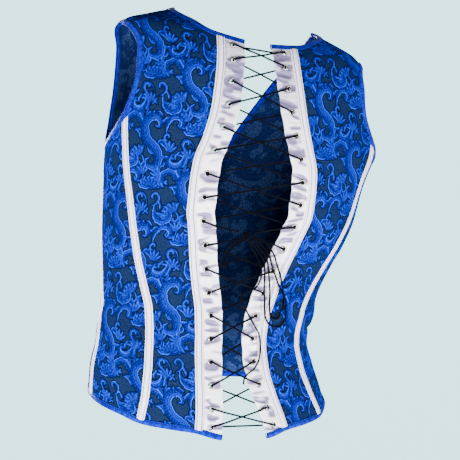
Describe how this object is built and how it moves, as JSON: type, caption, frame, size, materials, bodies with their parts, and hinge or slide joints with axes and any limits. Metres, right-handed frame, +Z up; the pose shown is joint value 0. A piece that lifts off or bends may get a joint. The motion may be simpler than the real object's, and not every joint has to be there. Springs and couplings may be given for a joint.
{
  "type": "corset vest",
  "caption": "Sleeveless vest of woven damask, laced at the centre back through satin plackets with metal eyelets, boned under tapes, with bound edges, hollow as worn.",
  "frame": {"origin": "midway between the two neck points of the shoulders, where the vest rests on the wearer", "axes": "+Z up from hem to shoulders, +Y out of the laced back, -Y the way the wearer faces, +X to the wearer's left"},
  "size_m": [0.4087, 0.2488, 0.593],
  "materials": {
    "jacquard": "navy ground with bright blue woven scrolls and leaves",
    "satin": "white satin with a faint lavender cast",
    "tape": "satin ribbon stitched along both edges",
    "binding": "royal blue satin bias binding",
    "nickel": "small nickel-plated eyelets",
    "cord": "black braided lacing cord"
  },
  "bodies": {
    "root": {"placket_left": "satin", "back_left": "jacquard", "side_back_left": "jacquard", "placket_right": "satin", "back_right": "jacquard", "side_back_right": "jacquard", "front": "jacquard", "placket_tape_left": "tape", "side_back_tape_left": "tape", "side_tape_left": "tape", "armhole_binding_left": "binding", "placket_tape_right": "tape", "side_back_tape_right": "tape", "side_tape_right": "tape", "armhole_binding_right": "binding", "hem_binding": "binding", "neck_binding": "binding", "eyelet_left_01": "nickel", "eyelet_left_02": "nickel", "eyelet_left_03": "nickel", "eyelet_left_04": "nickel", "eyelet_left_05": "nickel", "eyelet_left_06": "nickel", "eyelet_left_07": "nickel", "eyelet_left_08": "nickel", "eyelet_left_09": "nickel", "eyelet_left_10": "nickel", "eyelet_left_11": "nickel", "eyelet_left_12": "nickel", "eyelet_left_13": "nickel", "eyelet_left_14": "nickel", "eyelet_left_15": "nickel", "eyelet_left_16": "nickel", "eyelet_left_17": "nickel", "eyelet_left_18": "nickel", "eyelet_right_01": "nickel", "eyelet_right_02": "nickel", "eyelet_right_03": "nickel", "eyelet_right_04": "nickel", "eyelet_right_05": "nickel", "eyelet_right_06": "nickel", "eyelet_right_07": "nickel", "eyelet_right_08": "nickel", "eyelet_right_09": "nickel", "eyelet_right_10": "nickel", "eyelet_right_11": "nickel", "eyelet_right_12": "nickel", "eyelet_right_13": "nickel", "eyelet_right_14": "nickel", "eyelet_right_15": "nickel", "eyelet_right_16": "nickel", "eyelet_right_17": "nickel", "eyelet_right_18": "nickel", "lace_upper": "cord", "lace_lower": "cord", "bow_knot": "cord", "bow_loop_outer": "cord", "bow_loop_inner": "cord", "bow_tail": "cord", "bow_loop_left": "cord"}
  },
  "joints": []
}
